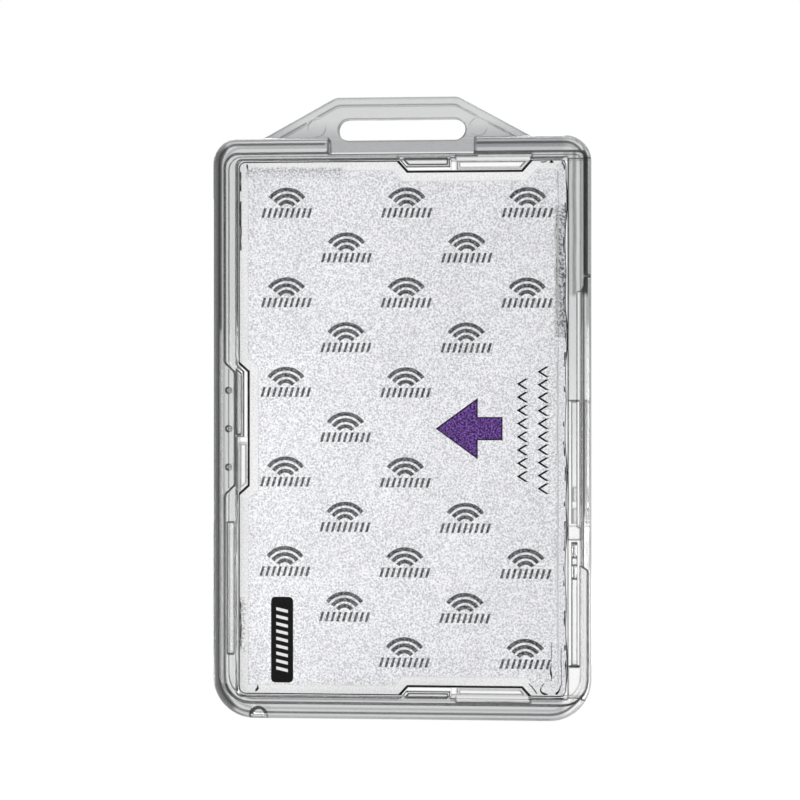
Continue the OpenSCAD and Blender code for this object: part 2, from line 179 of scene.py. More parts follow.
# The rounded edges and their painted shade show less behind, near the middle plane, on the tab, at its relief
# and at its locating posts
REAR_SHARE = 0.5
INNER_DEPTH = 0.8 * MM
INNER_SHARE = 0.35
TAB_RISE = 6.7 * MM
TAB_SHARE = 0.4
TAB_SHIFT = -0.75 * MM
RELIEF_RISE = 8.9 * MM
RELIEF_HALF = 12.1 * MM
RELIEF_SHARE = 0.35
POST_PLACE = (13.1 * MM, 0.35 * MM)
POST_REACH = 1.7 * MM
POST_SHARE = 0.1
# The gate's recess and the dimples, whose rims get nearly black painted shade: inner and outer radius of the
# shaded ring
GATE_PLACE = (-23 * MM, cad_low.z + 0.65 * MM)
GATE_RING = (0.95 * MM, 1.4 * MM)
SIDE_NOTCH_Z = -48.35 * MM
DIMPLE_X = cad_low.x + 2.7 * MM
DIMPLE_PITCH = 6.2 * MM
DIMPLE_RING = (0.35 * MM, 0.55 * MM)
# Painted light and shade on the faces: outer faces are shaded more than inner ones, and the right rail least,
# above all low down
OUTER_DEPTH = 2.4 * MM
TAB_UNSHADED_SHARE = 0.46
TAB_SHADE_Z = 2.1 * MM
RAIL_START = 25.5 * MM
RAIL_FADE = 1 * MM
RAIL_UNSHADED_SHARE = 0.85
RAIL_TOP_Z = -27.5 * MM
RAIL_CLEAR_Z = -70 * MM
RAIL_LINE_END_Z = -4.1 * MM
RAIL_LINE_FADE = 0.4 * MM
# Upright streaks of painted light and shade on the rail's face high up: places across the rail, with the
# light that passes
RAIL_STREAKS = (
    (0.22, grey(0.6)), (0.36, grey(0.75)), (0.43, grey(0.21)),
    (0.49, grey(0.3)), (0.55, WHITE), (0.69, WHITE),
)
STREAK_NOISE = (150, 1)
STREAK_SWAY = 0.5 * MM
# The border high on the right, which gets darker painted shade: its lowest height, its rise and its fade at
# each side
GREY_BORDER_Z = -3.4 * MM
GREY_BORDER_RISE = 0.4 * MM
GREY_BORDER_FADE = 2 * MM
# The painted shade of each kind of place
GREY_BORDER_SHADE = (0.42, 0.43, 0.44, 1)
FACE_SHADE = (0.66, 0.665, 0.67, 1)
WALL_SHADE = (0.4, 0.405, 0.41, 1)
LEVEL_WALL_SHADE = (0.85, 0.855, 0.86, 1)
LINE_SHADE = (0.09, 0.09, 0.094, 1)
EDGE_SHADE = (0.02, 0.02, 0.02, 1)
RIM_SHADE = (0.003, 0.003, 0.003, 1)
# The painted shade of an edge and of a fillet, by how squarely it faces what it turns from
EDGE_STOPS = ((0.70, EDGE_SHADE), (0.96, EDGE_SHADE), (0.98, WHITE))
LINE_STOPS = ((0.93, WHITE), (0.96, LINE_SHADE), (0.993, LINE_SHADE), (0.9985, WHITE))
WIDE_LINE_STOPS = ((0.72, WHITE), (0.79, EDGE_SHADE), (0.88, RIM_SHADE), (0.996, RIM_SHADE), (0.999, WHITE))
# How far a surface must turn up or down to be a level wall, and forward to be no wall at all
LEVEL_TURN = (0.5, 0.9)
FRONTAL_TURN = (0.1, 0.5)
PLASTIC_IOR = 1.57
HAZE_NOISE = (900, 3)
HAZE_STOPS = ((0.35, grey(0.015)), (0.75, grey(0.06)))
RIPPLE_SCALE = 140
RIPPLE_STRENGTH = 0.25
RIPPLE_HEIGHT = 0.2 * MM


def plastic_masks(tree, x, y, z, depth):
    """Where a point of the plastic lies: each mask is 1 in its place and 0 elsewhere."""
    tab_z = cad_high.z - TAB_RISE
    relief_z = cad_high.z - RELIEF_RISE
    below_tab = step_node(tree, z, tab_z, tab_z + EDGE_FADE, 1, 0)
    rail = step_node(tree, x, RAIL_START, RAIL_START + RAIL_FADE, 0, 1)
    return {
        "below_tab": below_tab,
        "relief": product_node(
            tree, below_tab,
            step_node(tree, size_node(tree, x), RELIEF_HALF, RELIEF_HALF + EDGE_FADE, 1, 0),
            step_node(tree, z, relief_z, relief_z + EDGE_FADE, 0, 1)),
        "inner": step_node(tree, depth, OUTER_DEPTH - EDGE_FADE, OUTER_DEPTH, 1, 0),
        "front": step_node(tree, y, -OUTER_DEPTH - EDGE_FADE, -OUTER_DEPTH, 1, 0),
        "rail": rail,
        "high_rail": product_node(
            tree, rail,
            step_node(tree, z, RAIL_TOP_Z, RAIL_TOP_Z + RAIL_FADE, 0, 1),
            step_node(tree, z, RAIL_LINE_END_Z, RAIL_LINE_END_Z + RAIL_LINE_FADE, 1, 0)),
        "grey_border": product_node(
            tree,
            step_node(tree, z, GREY_BORDER_Z, GREY_BORDER_Z + GREY_BORDER_RISE, 0, 1),
            step_node(tree, x, RELIEF_HALF - GREY_BORDER_FADE, RELIEF_HALF, 0, 1),
            step_node(tree, x, RAIL_START, RAIL_START + GREY_BORDER_FADE, 1, 0),
            step_node(tree, depth, OUTER_DEPTH - EDGE_FADE, OUTER_DEPTH, 0, 1)),
    }


def edge_strength(tree, x, z, depth, masks, edge_share):
    """How much the rounded edges and their painted shade show."""
    beside = size_node(tree, math_node(tree, "SUBTRACT", x, TAB_SHIFT))
    from_post = distance_node(tree, beside, z, POST_PLACE)
    return product_node(
        tree,
        step_node(tree, depth, INNER_DEPTH, INNER_DEPTH + EDGE_FADE, INNER_SHARE * edge_share, edge_share),
        step_node(tree, masks["below_tab"], 0, 1, TAB_SHARE, 1),
        step_node(tree, masks["relief"], 0, 1, 1, RELIEF_SHARE),
        step_node(tree, from_post, POST_REACH, POST_REACH + EDGE_FADE, POST_SHARE, 1))


def painted_face_shade(tree, x, z, masks):
    """Painted shade of the faces, lighter on the tab and low on the right rail, with painted streaks on the
    rail's face high up.
    """
    plain = product_node(tree, masks["below_tab"], step_node(tree, masks["relief"], 0, 1, 1, 0))
    # Painted light on the tab, fading out below it
    plate = step_node(tree, z, -TAB_SHADE_Z, TAB_SHADE_Z, 0, TAB_UNSHADED_SHARE)
    within = mix_node(tree, plain, plate, 1, kind="FLOAT")
    # Painted light on the right rail's face, growing low down
    low_rail = step_node(tree, z, RAIL_CLEAR_Z, RAIL_TOP_Z, RAIL_UNSHADED_SHARE, 0)
    inner = product_node(tree, masks["inner"], within)
    unshaded = math_node(tree, "MAXIMUM", inner, product_node(tree, masks["rail"], low_rail))
    # Painted shade, darker grey, on the border high on the right
    outer = mix_node(tree, masks["grey_border"], FACE_SHADE, GREY_BORDER_SHADE)
    face = mix_node(tree, unshaded, outer, WHITE)
    # Painted streaks of light and shade across the rail's face high up
    swayed = math_node(tree, "MULTIPLY_ADD", noise_node(tree, *STREAK_NOISE), STREAK_SWAY, x)
    across = add(tree, "ShaderNodeMapRange", {
        "Value": swayed, "From Min": RAIL_START + STREAK_SWAY / 2, "From Max": cad_high.x + STREAK_SWAY / 2})
    streaks = ramp_node(tree, across.outputs["Result"], RAIL_STREAKS)
    streaked = product_node(tree, masks["high_rail"], masks["front"])
    return mix_node(tree, streaked, face, mix_node(tree, 1, face, streaks, "MULTIPLY"))


def ring_mask(tree, distance, ring):
    """1 between the ring's two radii."""
    return product_node(
        tree,
        step_node(tree, distance, ring[0] - EDGE_FADE, ring[0], 0, 1),
        step_node(tree, distance, ring[1], ring[1] + EDGE_FADE / 2, 1, 0))


def painted_rim_shade(tree, x, z, masks):
    """Nearly black painted shade on the gate's upper rim and the left halves of the three dimples' rims, in
    the front face alone.
    """
    gate = product_node(
        tree,
        ring_mask(tree, distance_node(tree, x, z, GATE_PLACE), GATE_RING),
        step_node(tree, z, GATE_PLACE[1], GATE_PLACE[1] + EDGE_FADE, 0, 1),
        masks["front"])
    from_middle = size_node(tree, math_node(tree, "SUBTRACT", z, SIDE_NOTCH_Z))
    from_outer = size_node(tree, math_node(tree, "SUBTRACT", from_middle, DIMPLE_PITCH))
    nearest = math_node(tree, "MINIMUM", from_middle, from_outer)
    dimple = product_node(
        tree,
        ring_mask(tree, distance_node(tree, x, nearest, (DIMPLE_X, 0)), DIMPLE_RING),
        step_node(tree, x, DIMPLE_X, DIMPLE_X + EDGE_FADE, 1, 0),
        masks["front"])
    return math_node(tree, "MAXIMUM", gate, dimple)


def clear_plastic(name, edge_share):
    """Polished clear moulding with painted shade: dark lines at its edges and fillets, and walls darker than
    faces.
    """
    material, tree, shader = new_material(name)
    rounded = add(tree, "ShaderNodeBevel", {"Radius": EDGE_RADIUS}, samples=EDGE_SAMPLES).outputs["Normal"]
    flat = add(tree, "ShaderNodeNewGeometry").outputs["Normal"]
    turn = add(tree, "ShaderNodeVectorMath", {0: rounded, 1: flat}, operation="DOT_PRODUCT")
    # Painted shade at the edges, where the rounded normal turns from the flat one
    edge = ramp_node(tree, size_node(tree, turn.outputs["Value"]), EDGE_STOPS)
    place = add(tree, "ShaderNodeTexCoord")
    x, y, z = separate(tree, place.outputs["Object"])
    _, facing_y, facing_z = separate(tree, place.outputs["Normal"])
    frontal = size_node(tree, facing_y)
    depth = size_node(tree, y)
    masks = plastic_masks(tree, x, y, z, depth)
    strength = edge_strength(tree, x, z, depth, masks, edge_share)
    face = painted_face_shade(tree, x, z, masks)

    # Painted shade of level walls, other walls and fillets, multiplied into the faces' painted shade
    level = step_node(tree, size_node(tree, facing_z), *LEVEL_TURN, 0, 1)
    shaded_wall = mix_node(tree, level, WALL_SHADE, LEVEL_WALL_SHADE)
    slant = mix_node(tree, step_node(tree, frontal, *FRONTAL_TURN, 0, 1), shaded_wall, WHITE)
    line = ramp_node(tree, frontal, LINE_STOPS)
    wide_shade_line = ramp_node(tree, frontal, WIDE_LINE_STOPS)
    shaded_fillet = mix_node(tree, masks["high_rail"], line, wide_shade_line)
    painted_shade = mix_node(tree, 1, mix_node(tree, 1, face, slant, "MULTIPLY"), shaded_fillet, "MULTIPLY")
    # The painted edge shade shows as far as the edge share lets it
    shown = mix_node(tree, strength, face, mix_node(tree, 1, painted_shade, edge, "MULTIPLY"))
    # Nearly black painted shade on the gate's and dimples' rims
    feed(tree, shader.inputs["Base Color"], mix_node(tree, painted_rim_shade(tree, x, z, masks), shown, RIM_SHADE))

    shader.inputs["Transmission Weight"].default_value = 1
    shader.inputs["IOR"].default_value = PLASTIC_IOR
    haze = noise_node(tree, *HAZE_NOISE)
    feed(tree, shader.inputs["Roughness"], ramp_node(tree, haze, HAZE_STOPS))
    bump = bump_node(tree, noise_node(tree, RIPPLE_SCALE), RIPPLE_STRENGTH, RIPPLE_HEIGHT)
    feed(tree, bump.inputs["Normal"], mix_node(tree, strength, flat, rounded, kind="VECTOR"))
    feed(tree, shader.inputs["Normal"], bump.outputs["Normal"])
    return material


# Three darker mottled patches on the film, each a box: left, right, low and high
TOP_PATCH = (pixel_x(245), pixel_x(344), pixel_z(177.5), pixel_z(167.5))
RIGHT_PATCH = (pixel_x(555), pixel_x(568), pixel_z(337), pixel_z(207))
LEFT_PATCH = (pixel_x(238), pixel_x(245), pixel_z(652), pixel_z(598))
# The darkest and the lightest grains in each patch
FILM_PATCHES = (
    (TOP_PATCH, (0.36, 0.36, 0.38, 1), (0.92, 0.92, 0.95, 1)),
    (RIGHT_PATCH, (0.06, 0.06, 0.07, 1), (0.72, 0.72, 0.74, 1)),
    (LEFT_PATCH, (0.42, 0.42, 0.43, 1), WHITE),
)
PATCH_SOFT = 0.3 * MM
PATCH_RAGGED = 1.0 * MM
# Each noise has its scale, detail and roughness, each pair of places the ends of its ramp,
# and each relief its strength and its height
FRAY_NOISE = (500, 3, 0.6)
SPARKLE_NOISE = (3700, 2, 0.6)
SPARKLE_PLACES = (0.34, 0.6)
CLOUD_NOISE = (70, 3)
CLOUD_PLACES = (0.3, 0.7)
CLOUD_TONE = grey(0.94)
MOTTLE_NOISE = (3300, 2, 0.65)
MOTTLE_PLACES = (0.36, 0.62)
FILM_ROUGHNESS = 0.42
FILM_RELIEF = (0.5, 0.04 * MM)
INK_NOISE = (3200, 2, 0.7)
INK_MIDDLE = 0.5
INK_LIGHT_PLACE = 0.72
INK_ROUGHNESS = 0.38
INK_RELIEF = (0.4, 0.03 * MM)
FIBRE_NOISE = (1500, 4, 0.6)
FIBRE_PLACES = (0.3, 0.7)
FIBRE_RELIEF = (0.3, 0.03 * MM)
FOIL_STRETCH = (2500, 2500, 60)
FOIL_PLACES = (0.3, 0.7)
FOIL_ROUGHNESS = 0.25
FOIL_RELIEF = (0.3, 0.02 * MM)


def patch_mask(tree, patch):
    """1 inside a patch, which is a (left, right, low, high) box in x and z, with a soft ragged edge."""
    left, right, low, high = patch
    x, _, z = separate(tree, add(tree, "ShaderNodeTexCoord").outputs["Object"])
    past = []
    for source, first, last in ((x, left, right), (z, low, high)):
        offset = math_node(tree, "SUBTRACT", source, (first + last) / 2)
        past.append(math_node(tree, "SUBTRACT", size_node(tree, offset), (last - first) / 2))
    outside = math_node(tree, "MAXIMUM", *past)
    frayed = math_node(tree, "MULTIPLY_ADD", noise_node(tree, *FRAY_NOISE), PATCH_RAGGED, outside)
    return step_node(tree, frayed, PATCH_RAGGED / 2 - PATCH_SOFT, PATCH_RAGGED / 2 + PATCH_SOFT, 1, 0)


def two_tones(tree, source, places, low, high):
    """A ramp over source, from one tone to another between two places."""
    return ramp_node(tree, source, tuple(zip(places, (low, high))))


def set_surface(tree, shader, colour, roughness, grain, relief):
    """Colour, roughness, and a fine relief that follows the grain."""
    feed(tree, shader.inputs["Base Color"], colour)
    shader.inputs["Roughness"].default_value = roughness
    feed(tree, shader.inputs["Normal"], bump_node(tree, grain, *relief).outputs["Normal"])


def silver_film(name, low, high, metal):
    """Silver print film with a fine sparkle between two tones, and darker mottled patches."""
    material, tree, shader = new_material(name)
    grain = noise_node(tree, *SPARKLE_NOISE)
    tone = two_tones(tree, grain, SPARKLE_PLACES, low, high)
    cloud = two_tones(tree, noise_node(tree, *CLOUD_NOISE), CLOUD_PLACES, CLOUD_TONE, WHITE)
    made = mix_node(tree, 1, tone, cloud, "MULTIPLY")
    for patch, darkest, lightest in FILM_PATCHES:
        mottle = two_tones(tree, noise_node(tree, *MOTTLE_NOISE), MOTTLE_PLACES, darkest, lightest)
        made = mix_node(tree, patch_mask(tree, patch), made, mottle)
    shader.inputs["Metallic"].default_value = metal
    set_surface(tree, shader, made, FILM_ROUGHNESS, grain, FILM_RELIEF)
    return material


def ink(name, dark, light, wear, shine=0.5):
    """Printed ink over the sparkling film; wear is the share of light grains."""
    material, tree, shader = new_material(name)
    grain = noise_node(tree, *INK_NOISE)
    tone = two_tones(tree, grain, (INK_MIDDLE - wear, INK_LIGHT_PLACE), dark, light)
    shader.inputs["Specular IOR Level"].default_value = shine
    set_surface(tree, shader, tone, INK_ROUGHNESS, grain, INK_RELIEF)
    return material


def paper(name, low, high, rough):
    """Matt sheet or tape with fine fibres."""
    material, tree, shader = new_material(name)
    fibres = noise_node(tree, *FIBRE_NOISE)
    tone = two_tones(tree, fibres, FIBRE_PLACES, low, high)
    set_surface(tree, shader, tone, rough, fibres, FIBRE_RELIEF)
    return material


def foil(name, low, high):
    """Rolled metal foil with fine lines along its length."""
    material, tree, shader = new_material(name)
    lines = noise_node(tree, 1, stretch=FOIL_STRETCH)
    shader.inputs["Metallic"].default_value = 1
    tone = two_tones(tree, lines, FOIL_PLACES, low, high)
    set_surface(tree, shader, tone, FOIL_ROUGHNESS, lines, FOIL_RELIEF)
    return material


CLEAR_FRONT = clear_plastic("clear_front_plastic", 1)
CLEAR_REAR = clear_plastic("clear_rear_plastic", REAR_SHARE)
FILM = silver_film("silver_film", (0.5, 0.5, 0.535, 1), (0.97, 0.97, 1, 1), 0.3)
FILM_RIM = silver_film("film_rim", (0.78, 0.78, 0.8, 1), WHITE, 0.1)
GREY_INK = ink("grey_ink", (0.004, 0.004, 0.005, 1), (0.33, 0.34, 0.36, 1), 0.07)
BLACK_INK = ink("black_ink", grey(0.001), (0.012, 0.012, 0.014, 1), 0.02, 0.1)
PURPLE_INK = ink("purple_ink", (0.012, 0.002, 0.045, 1), (0.36, 0.15, 0.68, 1), 0.07, 0.2)
ARROW_INK = ink("arrow_edge_ink", (0.008, 0.002, 0.02, 1), (0.05, 0.02, 0.09, 1), 0.02, 0.2)
# Painted shadow where the film's edge stands off what lies behind it; the same ink draws the small dark marks
EDGE_SHADOW_INK = ink("film_edge_shadow", (0.004, 0.004, 0.005, 1), (0.03, 0.03, 0.035, 1), 0.02, 0.2)
# Painted shade along the film's folds
FOLD_SHADE = ink("fold_shade_ink", grey(0.02), (0.3, 0.3, 0.31, 1), 0.2, 0.2)
WHITE_INK = ink("white_ink", (0.72, 0.72, 0.73, 1), grey(0.92), 0.2)
CARRIER = paper("carrier_sheet", (0.80, 0.80, 0.81, 1), (0.90, 0.90, 0.91, 1), 0.55)
TAPE = paper("tape_strip", (0.66, 0.66, 0.62, 1), (0.80, 0.80, 0.76, 1), 0.45)
FOIL = foil("rolled_foil", grey(0.66), grey(0.82))

CAD_FINISH = {
    "rear_shell": CLEAR_REAR,
    "front_frame": CLEAR_FRONT,
    "front_finger": CLEAR_FRONT,
    "rear_finger": CLEAR_REAR,
    "shield_carrier": CARRIER,
    "shield_foil": FOIL,
    "shield_film": FILM,
    "tape_top": TAPE,
    "tape_left": TAPE,
    "tape_right": TAPE,
}

for node_name, finish in CAD_FINISH.items():
    node = nodes[node_name]
    node.data.materials.clear()
    node.data.materials.append(finish)
    if finish in (CLEAR_FRONT, CLEAR_REAR):
        node.visible_shadow = False

# Camera at the photograph's angle: level, a little towards the side where the cards go in

CAMERA_DISTANCE = 350 * MM
CAMERA_YAW = math.radians(4.3)
SENSOR = 36.0

aim = Vector((pixel_x(PHOTO_SIDE / 2), 0, pixel_z(PHOTO_SIDE / 2)))
back = Vector((math.sin(CAMERA_YAW), -math.cos(CAMERA_YAW), 0))
camera_data = bpy.data.cameras.new("camera")
camera = bpy.data.objects.new("camera", camera_data)
bpy.context.scene.collection.objects.link(camera)
camera.location = aim + back * CAMERA_DISTANCE
camera.rotation_mode = "QUATERNION"
camera.rotation_quaternion = (-back).to_track_quat("-Z", "Y")
camera_data.sensor_width = SENSOR
camera_data.lens = SENSOR * CAMERA_DISTANCE / (PHOTO_SIDE / PIXELS_PER_MM * MM)
bpy.context.scene.camera = camera

# Light: white ahead and behind, a darker ring between them, and a pale even room for the film

ROOM_LEVEL = 0.66
LOW_LEVEL = 0.38
LOW_RANGE = (-0.2, -0.1)
# What the room shows from left to right
SIDE_STOPS = ((0.0, grey(0.6)), (0.45, grey(0.66)), (0.54, grey(0.2)), (0.9, grey(0.2)), (1.0, grey(0.3)))
# The white straight ahead and behind: how squarely, and how far to the right it reaches
AHEAD_RANGE = (0.955, 0.97)
ASIDE_RANGE = (0.04, 0.1)
# Mirrored light: what lies below is as bright as the floor
GLOSS_LEVEL = 0.5
GLOSS_LOW_LEVEL = 0.9
GLOSS_RANGE = (-0.3, 0.1)
# A ray with a diffuse depth below this has met no matt surface yet
FIRST_BOUNCE = 0.5


def build_world():
    """White ahead and behind; what the plastic bends aside meets a room that is darker on its right."""
    world = bpy.data.worlds.new("studio")
    bpy.context.scene.world = world
    world.use_nodes = True
    tree = world.node_tree
    x, y, z = separate(tree, add(tree, "ShaderNodeTexCoord").outputs["Generated"])
    across = add(tree, "ShaderNodeMapRange", {"Value": x, "From Min": -1})
    sides = ramp_node(tree, across.outputs["Result"], SIDE_STOPS)
    lower = mix_node(tree, step_node(tree, z, *LOW_RANGE, 1, 0), sides, grey(LOW_LEVEL))
    ahead = product_node(
        tree, step_node(tree, size_node(tree, y), *AHEAD_RANGE, 0, 1), step_node(tree, x, *ASIDE_RANGE, 1, 0))
    ring = mix_node(tree, ahead, lower, WHITE)
    path = add(tree, "ShaderNodeLightPath").outputs
    mirrored = step_node(tree, z, *GLOSS_RANGE, GLOSS_LOW_LEVEL, GLOSS_LEVEL)
    lit = mix_node(tree, path["Is Glossy Ray"], grey(ROOM_LEVEL), mirrored)
    # Light that reaches the film through a wall counts as the room's own
    straight = math_node(tree, "LESS_THAN", path["Diffuse Depth"], FIRST_BOUNCE)
    bent = product_node(tree, path["Is Transmission Ray"], straight)
    room = mix_node(tree, bent, lit, ring)
    sky = tree.nodes["Background"]
    feed(tree, sky.inputs["Color"], mix_node(tree, path["Is Camera Ray"], room, WHITE))
    sky.inputs["Strength"].default_value = 1
    world.cycles.sampling_method = "NONE"


def new_object(name, points, faces, materials):
    mesh = bpy.data.meshes.new(name)
    mesh.from_pydata(points, [], faces)
    for material in materials:
        mesh.materials.append(material)
    made = bpy.data.objects.new(name, mesh)
    bpy.context.scene.collection.objects.link(made)
    return made


FLOOR_DROP = 55 * MM
FLOOR_REACH = 360 * MM
FLOOR_TONE = grey(0.8)
FLOOR_ROUGHNESS = 0.9
# The floor's own glow in the picture: where it starts to rise, where it is full, and its two levels
FLOOR_GLOW = (0.12, 0.26, 0.4, 1.0)


def build_floor():
    """Plain pale floor below the hanging holder; it keeps a soft shadow."""
    material, tree, shader = new_material("floor_paint")
    shader.inputs["Base Color"].default_value = FLOOR_TONE
    shader.inputs["Roughness"].default_value = FLOOR_ROUGHNESS
    shader.inputs["Emission Color"].default_value = WHITE
    path = add(tree, "ShaderNodeLightPath").outputs
    seen = math_node(tree, "MAXIMUM", path["Is Camera Ray"], path["Is Transmission Ray"])
    place = add(tree, "ShaderNodeTexCoord").outputs["Object"]
    away = add(tree, "ShaderNodeVectorMath", {0: place}, operation="LENGTH").outputs["Value"]
    glow = product_node(tree, seen, step_node(tree, away, *FLOOR_GLOW))
    feed(tree, shader.inputs["Emission Strength"], glow)
    mirrored = add(tree, "ShaderNodeEmission", {"Strength": GLOSS_LOW_LEVEL}).outputs["Emission"]
    either = add(tree, "ShaderNodeMixShader", {
        "Fac": path["Is Glossy Ray"], 1: shader.outputs["BSDF"], 2: mirrored})
    feed(tree, tree.nodes["Material Output"].inputs["Surface"], either.outputs["Shader"])

    level = cad_low.z - FLOOR_DROP
    reach = FLOOR_REACH
    corners = [(-reach, -reach, level), (reach, -reach, level), (reach, reach, level), (-reach, reach, level)]
    new_object("floor", corners, [(0, 1, 2, 3)], [material])


# Area lamps that face the holder: name, place, size and watts
LAMPS = (
    ("key_light", (-0.22, -0.50, -0.16), (0.22, 0.30), 1.0),
    ("fill_light", (0.34, -0.42, -0.26), (0.16, 0.36), 2.35),
    ("top_light", (0.05, 0.10, 0.45), (0.40, 0.12), 0.6),
)
BACK_LAMP = ("back_light", (-0.10, 0.45, 0.40), (0.30, 0.30), 1.1)


def add_lamp(name, place, size, watts):
    data = bpy.data.lights.new(name, "AREA")
    data.shape = "RECTANGLE"
    data.size, data.size_y = size
    data.energy = watts
    lamp = bpy.data.objects.new(name, data)
    bpy.context.scene.collection.objects.link(lamp)
    lamp.location = place
    middle = (cad_low + cad_high) / 2
    lamp.rotation_mode = "QUATERNION"
    lamp.rotation_quaternion = (middle - lamp.location).to_track_quat("-Z", "Y")
    return lamp


build_world()
build_floor()
for values in LAMPS:
    add_lamp(*values)
back_lamp = add_lamp(*BACK_LAMP)
back_lamp.visible_camera = False
back_lamp.visible_transmission = False

bpy.context.scene.view_settings.view_transform = "Standard"


# Flat pieces on the shield

def flat_piece(name, outlines, front, thick, material):
    """Thin closed plates: each outline is a list of (x, z) corners, anticlockwise seen from the front."""
    points, faces = [], []
    for outline in outlines:
        start = len(points)
        count = len(outline)
        points += [(x, front, z) for x, z in outline]
        points += [(x, front + thick, z) for x, z in outline]
        faces.append(list(range(start, start + count)))
        faces.append(list(range(start + 2 * count - 1, start + count - 1, -1)))
        for k in range(count):
            after = (k + 1) % count
            faces.append([start + after, start + k, start + count + k, start + count + after])
    piece = new_object(name, points, faces, [material])
    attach(piece, "holder")
    return piece


def turned(points, centre, angle):
    """Points turned about a centre, anticlockwise seen from the front."""
    cos, sin = math.cos(angle), math.sin(angle)
    made = []
    for x, z in points:
        dx, dz = x - centre[0], z - centre[1]
        made.append((centre[0] + dx * cos - dz * sin, centre[1] + dx * sin + dz * cos))
    return made


ARC_STEPS = 14
CORNER_STEPS = 5


def arc_band(centre, outer, width, half_angle):
    """A curved stroke open downwards."""
    def side(radius):
        angles = [math.pi / 2 - half_angle + 2 * half_angle * k / ARC_STEPS for k in range(ARC_STEPS + 1)]
        return [(centre[0] + radius * math.cos(a), centre[1] + radius * math.sin(a)) for a in angles]

    return side(outer) + side(outer - width)[::-1]


def round_box(centre, size, radius):
    half_x, half_z = size[0] / 2 - radius, size[1] / 2 - radius
    made = []
    for sx, sz, start in ((1, 1, 0), (-1, 1, 90), (-1, -1, 180), (1, -1, 270)):
        for k in range(CORNER_STEPS + 1):
            a = math.radians(start + 90 * k / CORNER_STEPS)
            made.append((centre[0] + sx * half_x + radius * math.cos(a),
                         centre[1] + sz * half_z + radius * math.sin(a)))
    return made


film_low, film_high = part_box("shield_film")
FILM_FRONT = film_low.y
INK_T = 0.015 * MM
INK_FRONT = FILM_FRONT - INK_T
PRINT_TILT = math.radians(-0.3)
shield_middle = ((film_low.x + film_high.x) / 2, (film_low.z + film_high.z) / 2)

# The silver film: sealed along its rim, slack on the right, with a band of painted shadow round its edge,
# widest in each notch

FILM_T = 0.09 * MM
FILM_CORNER_R = 0.9 * MM
LEAST_CORNER_R = 0.02 * MM
FILM_CORNER_STEPS = 4
FILM_SIDE_STEPS = 40
SEAL_W = 1.3 * MM
SEAL_STEP = 0.1 * MM
CREASE_W = 0.15 * MM
# The band of painted shadow round the film's edge: its width in the notches, its width elsewhere, and how far
# it falls back
NOTCH_SHADOW_W = 0.38 * MM
EDGE_SHADOW_W = 0.2 * MM
SHADOW_FALL = 0.15 * MM
PLAIN_SIDE_W = 1.6 * MM
NOTCH_HALF = 9.35 * MM
NOTCH_FLARE = 0.9
END_NOTCH_X = 10.15 * MM
# How far each notch reaches in from the film's edge
NOTCH_REACH = {"top": 1.8 * MM, "side": 1.65 * MM, "bottom": 1.5 * MM}
# The grid that fills the film: its pitch, with its row height and its sway as shares of that
FILM_GRID = 1.1 * MM
ROW_SHARE = 0.87
SWAY_SHARE = 0.3
SWAY_RATE = 2000
FILM_SEED = 7
WRINKLE_SEED = 3
EDGE_MARGIN = 0.2 * MM
MERGE_DISTANCE = 0.001 * MM
# The film's gentle waves, and the wrinkles low on the right, which show less inside the crease
WAVE_HEIGHT = 0.02 * MM
WAVE_RATE = 180
WRINKLE_MIDDLE = (pixel_x(547), pixel_z(688))
WRINKLE_REACH = 4.5 * MM
WRINKLE_FIELD = 0.9 * WRINKLE_REACH
WRINKLE_GRID = 0.3 * MM
WRINKLE_HEIGHT = 0.1 * MM
WRINKLE_RATES = (900, 520)
WRINKLE_PLANE = 4
WRINKLE_LEVEL = 0.35
FIELD_WRINKLE_SHARE = 0.3
SLACK = 0.35 * MM
SLACK_RATES = (420, 173)
# Which material each part of the film has
FIELD, RIM, SHADOW_BAND = 0, 1, 2


def notch_line(station, inset):
    """Four corners of a notch, in the order that the film's outline passes them, anticlockwise."""
    reach = NOTCH_REACH[station] + inset
    tip = NOTCH_HALF + inset / 2
    foot = tip + NOTCH_FLARE * reach
    along = [-foot, -tip, tip, foot]
    depth = [0, reach, reach, 0]
    if station == "bottom":
        return [(END_NOTCH_X + t, film_low.z + d) for t, d in zip(along, depth)]
    if station == "top":
        return [(END_NOTCH_X - t, film_high.z - d) for t, d in zip(along, depth)]
    return [(film_low.x + d, SIDE_NOTCH_Z - t) for t, d in zip(along, depth)]


def slack_edge(z):
    """How far the film's right edge falls short of the sheet behind it."""
    return SLACK * (0.5 + 0.5 * math.sin(z * SLACK_RATES[0]) * math.sin(z * SLACK_RATES[1] + 1))


def film_outline(inset, notch_inset):
    """The film's outline drawn in by an inset, with its own inset for the notches."""
    left, right = film_low.x + inset, film_high.x - inset
    low, high = film_low.z + inset, film_high.z - inset
    r = max(FILM_CORNER_R - inset, LEAST_CORNER_R)

    def corner(x, z, start):
        angles = [math.radians(start + 90 * k / FILM_CORNER_STEPS) for k in range(FILM_CORNER_STEPS + 1)]
        return [(x + r * math.cos(a), z + r * math.sin(a)) for a in angles]

    def clipped(station):
        points = notch_line(station, notch_inset)
        if inset:
            share = inset / (NOTCH_REACH[station] + notch_inset)
            points[0] = tuple(a + (b - a) * share for a, b in zip(points[0], points[1]))
            points[3] = tuple(a + (b - a) * share for a, b in zip(points[3], points[2]))
        return points

    made = corner(left + r, low + r, 180) + clipped("bottom") + corner(right - r, low + r, 270)
    made += [(right, low + r + (high - low - 2 * r) * k / FILM_SIDE_STEPS) for k in range(1, FILM_SIDE_STEPS)]
    made += corner(right - r, high - r, 0) + clipped("top") + corner(left + r, high - r, 90) + clipped("side")
    return [(x - slack_edge(z) if x > right - 0.5 * r else x, z) for x, z in made]


